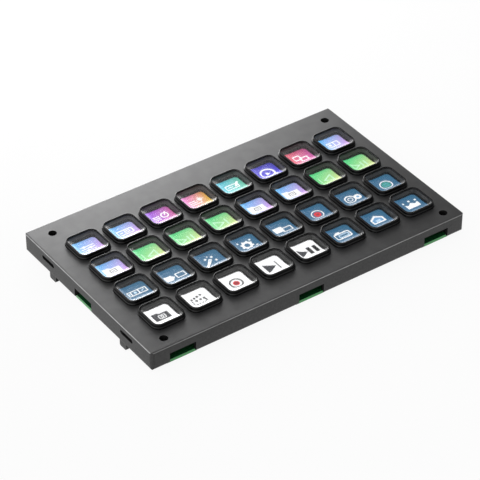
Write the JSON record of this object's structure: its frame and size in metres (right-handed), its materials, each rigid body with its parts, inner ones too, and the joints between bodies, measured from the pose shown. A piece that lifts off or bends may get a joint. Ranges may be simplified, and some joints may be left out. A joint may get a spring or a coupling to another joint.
{
  "type": "display key macro keypad",
  "caption": "Panel-mount macro keypad: a shallow metal tray holds a grid of clear, spring-back display keys over one flat screen, with a green circuit board behind.",
  "frame": {"origin": "under the middle of the tray, level with the lower ends of its four lugs", "axes": "+X along a row of keys to the right, +Y from the front edge to the back edge, +Z out of the face"},
  "size_m": [0.19, 0.1146, 0.016],
  "materials": {
    "key_plastic": "black gloss sides round a clear core",
    "clear_plastic": "clear polished",
    "tray_metal": "dark grey anodised, satin",
    "mat_silicone": "matt",
    "amber_film": "smooth film",
    "frame_plastic": "fine texture",
    "screen_glass": "polished, dark when off",
    "white_film": "matt",
    "lamp_strip": "matt",
    "steel": "brushed",
    "foam": "open foam",
    "board_green": "solder mask over glass fibre",
    "chip_black": "moulded, matt",
    "choke_ferrite": "pressed powder",
    "capacitor_ceramic": "fired ceramic",
    "connector_plastic": "moulded"
  },
  "bodies": {
    "chassis": {"tray": "tray_metal", "switch_mat": "mat_silicone", "contact_film": "amber_film", "key_frame": "frame_plastic", "lcd_panel": "screen_glass", "display_driver": "chip_black", "screen_ribbon": "amber_film", "diffuser_sheet": "white_film", "light_guide": "clear_plastic", "reflector_sheet": "white_film", "light_strip": "lamp_strip", "screen_back": "steel", "foam_pads": "foam", "main_board": "board_green", "usb_shell": "steel", "usb_tongue": "frame_plastic", "processor": "chip_black", "memory_chip": "chip_black", "flash_chip": "chip_black", "power_chips": "chip_black", "chokes": "choke_ferrite", "crystal": "steel", "capacitors": "capacitor_ceramic", "resistors": "chip_black", "screen_connector": "connector_plastic", "film_connector": "connector_plastic", "board_screws": "steel"},
    "key_r1_c1": {"keycap_r1_c1": "key_plastic"},
    "key_r1_c2": {"keycap_r1_c2": "key_plastic"},
    "key_r1_c3": {"keycap_r1_c3": "key_plastic"},
    "key_r1_c4": {"keycap_r1_c4": "key_plastic"},
    "key_r1_c5": {"keycap_r1_c5": "key_plastic"},
    "key_r1_c6": {"keycap_r1_c6": "key_plastic"},
    "key_r1_c7": {"keycap_r1_c7": "key_plastic"},
    "key_r1_c8": {"keycap_r1_c8": "key_plastic"},
    "key_r2_c1": {"keycap_r2_c1": "key_plastic"},
    "key_r2_c2": {"keycap_r2_c2": "key_plastic"},
    "key_r2_c3": {"keycap_r2_c3": "key_plastic"},
    "key_r2_c4": {"keycap_r2_c4": "key_plastic"},
    "key_r2_c5": {"keycap_r2_c5": "key_plastic"},
    "key_r2_c6": {"keycap_r2_c6": "key_plastic"},
    "key_r2_c7": {"keycap_r2_c7": "key_plastic"},
    "key_r2_c8": {"keycap_r2_c8": "key_plastic"},
    "key_r3_c1": {"keycap_r3_c1": "key_plastic"},
    "key_r3_c2": {"keycap_r3_c2": "key_plastic"},
    "key_r3_c3": {"keycap_r3_c3": "key_plastic"},
    "key_r3_c4": {"keycap_r3_c4": "key_plastic"},
    "key_r3_c5": {"keycap_r3_c5": "key_plastic"},
    "key_r3_c6": {"keycap_r3_c6": "key_plastic"},
    "key_r3_c7": {"keycap_r3_c7": "key_plastic"},
    "key_r3_c8": {"keycap_r3_c8": "key_plastic"},
    "key_r4_c1": {"keycap_r4_c1": "key_plastic"},
    "key_r4_c2": {"keycap_r4_c2": "key_plastic"},
    "key_r4_c3": {"keycap_r4_c3": "key_plastic"},
    "key_r4_c4": {"keycap_r4_c4": "key_plastic"},
    "key_r4_c5": {"keycap_r4_c5": "key_plastic"},
    "key_r4_c6": {"keycap_r4_c6": "key_plastic"},
    "key_r4_c7": {"keycap_r4_c7": "key_plastic"},
    "key_r4_c8": {"keycap_r4_c8": "key_plastic"}
  },
  "joints": [
    {"name": "press_r1_c1", "type": "slide", "parent": "chassis", "child": "key_r1_c1", "axis": [0, 0, 1], "range_m": [-0.001, 0], "stiffness_N_per_m": 600, "springref_m": 0.0003, "deforming": ["switch_mat"]},
    {"name": "press_r1_c2", "type": "slide", "parent": "chassis", "child": "key_r1_c2", "axis": [0, 0, 1], "range_m": [-0.001, 0], "stiffness_N_per_m": 600, "springref_m": 0.0003, "deforming": ["switch_mat"]},
    {"name": "press_r1_c3", "type": "slide", "parent": "chassis", "child": "key_r1_c3", "axis": [0, 0, 1], "range_m": [-0.001, 0], "stiffness_N_per_m": 600, "springref_m": 0.0003, "deforming": ["switch_mat"]},
    {"name": "press_r1_c4", "type": "slide", "parent": "chassis", "child": "key_r1_c4", "axis": [0, 0, 1], "range_m": [-0.001, 0], "stiffness_N_per_m": 600, "springref_m": 0.0003, "deforming": ["switch_mat"]},
    {"name": "press_r1_c5", "type": "slide", "parent": "chassis", "child": "key_r1_c5", "axis": [0, 0, 1], "range_m": [-0.001, 0], "stiffness_N_per_m": 600, "springref_m": 0.0003, "deforming": ["switch_mat"]},
    {"name": "press_r1_c6", "type": "slide", "parent": "chassis", "child": "key_r1_c6", "axis": [0, 0, 1], "range_m": [-0.001, 0], "stiffness_N_per_m": 600, "springref_m": 0.0003, "deforming": ["switch_mat"]},
    {"name": "press_r1_c7", "type": "slide", "parent": "chassis", "child": "key_r1_c7", "axis": [0, 0, 1], "range_m": [-0.001, 0], "stiffness_N_per_m": 600, "springref_m": 0.0003, "deforming": ["switch_mat"]},
    {"name": "press_r1_c8", "type": "slide", "parent": "chassis", "child": "key_r1_c8", "axis": [0, 0, 1], "range_m": [-0.001, 0], "stiffness_N_per_m": 600, "springref_m": 0.0003, "deforming": ["switch_mat"]},
    {"name": "press_r2_c1", "type": "slide", "parent": "chassis", "child": "key_r2_c1", "axis": [0, 0, 1], "range_m": [-0.001, 0], "stiffness_N_per_m": 600, "springref_m": 0.0003, "deforming": ["switch_mat"]},
    {"name": "press_r2_c2", "type": "slide", "parent": "chassis", "child": "key_r2_c2", "axis": [0, 0, 1], "range_m": [-0.001, 0], "stiffness_N_per_m": 600, "springref_m": 0.0003, "deforming": ["switch_mat"]},
    {"name": "press_r2_c3", "type": "slide", "parent": "chassis", "child": "key_r2_c3", "axis": [0, 0, 1], "range_m": [-0.001, 0], "stiffness_N_per_m": 600, "springref_m": 0.0003, "deforming": ["switch_mat"]},
    {"name": "press_r2_c4", "type": "slide", "parent": "chassis", "child": "key_r2_c4", "axis": [0, 0, 1], "range_m": [-0.001, 0], "stiffness_N_per_m": 600, "springref_m": 0.0003, "deforming": ["switch_mat"]},
    {"name": "press_r2_c5", "type": "slide", "parent": "chassis", "child": "key_r2_c5", "axis": [0, 0, 1], "range_m": [-0.001, 0], "stiffness_N_per_m": 600, "springref_m": 0.0003, "deforming": ["switch_mat"]},
    {"name": "press_r2_c6", "type": "slide", "parent": "chassis", "child": "key_r2_c6", "axis": [0, 0, 1], "range_m": [-0.001, 0], "stiffness_N_per_m": 600, "springref_m": 0.0003, "deforming": ["switch_mat"]},
    {"name": "press_r2_c7", "type": "slide", "parent": "chassis", "child": "key_r2_c7", "axis": [0, 0, 1], "range_m": [-0.001, 0], "stiffness_N_per_m": 600, "springref_m": 0.0003, "deforming": ["switch_mat"]},
    {"name": "press_r2_c8", "type": "slide", "parent": "chassis", "child": "key_r2_c8", "axis": [0, 0, 1], "range_m": [-0.001, 0], "stiffness_N_per_m": 600, "springref_m": 0.0003, "deforming": ["switch_mat"]},
    {"name": "press_r3_c1", "type": "slide", "parent": "chassis", "child": "key_r3_c1", "axis": [0, 0, 1], "range_m": [-0.001, 0], "stiffness_N_per_m": 600, "springref_m": 0.0003, "deforming": ["switch_mat"]},
    {"name": "press_r3_c2", "type": "slide", "parent": "chassis", "child": "key_r3_c2", "axis": [0, 0, 1], "range_m": [-0.001, 0], "stiffness_N_per_m": 600, "springref_m": 0.0003, "deforming": ["switch_mat"]},
    {"name": "press_r3_c3", "type": "slide", "parent": "chassis", "child": "key_r3_c3", "axis": [0, 0, 1], "range_m": [-0.001, 0], "stiffness_N_per_m": 600, "springref_m": 0.0003, "deforming": ["switch_mat"]},
    {"name": "press_r3_c4", "type": "slide", "parent": "chassis", "child": "key_r3_c4", "axis": [0, 0, 1], "range_m": [-0.001, 0], "stiffness_N_per_m": 600, "springref_m": 0.0003, "deforming": ["switch_mat"]},
    {"name": "press_r3_c5", "type": "slide", "parent": "chassis", "child": "key_r3_c5", "axis": [0, 0, 1], "range_m": [-0.001, 0], "stiffness_N_per_m": 600, "springref_m": 0.0003, "deforming": ["switch_mat"]},
    {"name": "press_r3_c6", "type": "slide", "parent": "chassis", "child": "key_r3_c6", "axis": [0, 0, 1], "range_m": [-0.001, 0], "stiffness_N_per_m": 600, "springref_m": 0.0003, "deforming": ["switch_mat"]},
    {"name": "press_r3_c7", "type": "slide", "parent": "chassis", "child": "key_r3_c7", "axis": [0, 0, 1], "range_m": [-0.001, 0], "stiffness_N_per_m": 600, "springref_m": 0.0003, "deforming": ["switch_mat"]},
    {"name": "press_r3_c8", "type": "slide", "parent": "chassis", "child": "key_r3_c8", "axis": [0, 0, 1], "range_m": [-0.001, 0], "stiffness_N_per_m": 600, "springref_m": 0.0003, "deforming": ["switch_mat"]},
    {"name": "press_r4_c1", "type": "slide", "parent": "chassis", "child": "key_r4_c1", "axis": [0, 0, 1], "range_m": [-0.001, 0], "stiffness_N_per_m": 600, "springref_m": 0.0003, "deforming": ["switch_mat"]},
    {"name": "press_r4_c2", "type": "slide", "parent": "chassis", "child": "key_r4_c2", "axis": [0, 0, 1], "range_m": [-0.001, 0], "stiffness_N_per_m": 600, "springref_m": 0.0003, "deforming": ["switch_mat"]},
    {"name": "press_r4_c3", "type": "slide", "parent": "chassis", "child": "key_r4_c3", "axis": [0, 0, 1], "range_m": [-0.001, 0], "stiffness_N_per_m": 600, "springref_m": 0.0003, "deforming": ["switch_mat"]},
    {"name": "press_r4_c4", "type": "slide", "parent": "chassis", "child": "key_r4_c4", "axis": [0, 0, 1], "range_m": [-0.001, 0], "stiffness_N_per_m": 600, "springref_m": 0.0003, "deforming": ["switch_mat"]},
    {"name": "press_r4_c5", "type": "slide", "parent": "chassis", "child": "key_r4_c5", "axis": [0, 0, 1], "range_m": [-0.001, 0], "stiffness_N_per_m": 600, "springref_m": 0.0003, "deforming": ["switch_mat"]},
    {"name": "press_r4_c6", "type": "slide", "parent": "chassis", "child": "key_r4_c6", "axis": [0, 0, 1], "range_m": [-0.001, 0], "stiffness_N_per_m": 600, "springref_m": 0.0003, "deforming": ["switch_mat"]},
    {"name": "press_r4_c7", "type": "slide", "parent": "chassis", "child": "key_r4_c7", "axis": [0, 0, 1], "range_m": [-0.001, 0], "stiffness_N_per_m": 600, "springref_m": 0.0003, "deforming": ["switch_mat"]},
    {"name": "press_r4_c8", "type": "slide", "parent": "chassis", "child": "key_r4_c8", "axis": [0, 0, 1], "range_m": [-0.001, 0], "stiffness_N_per_m": 600, "springref_m": 0.0003, "deforming": ["switch_mat"]}
  ]
}
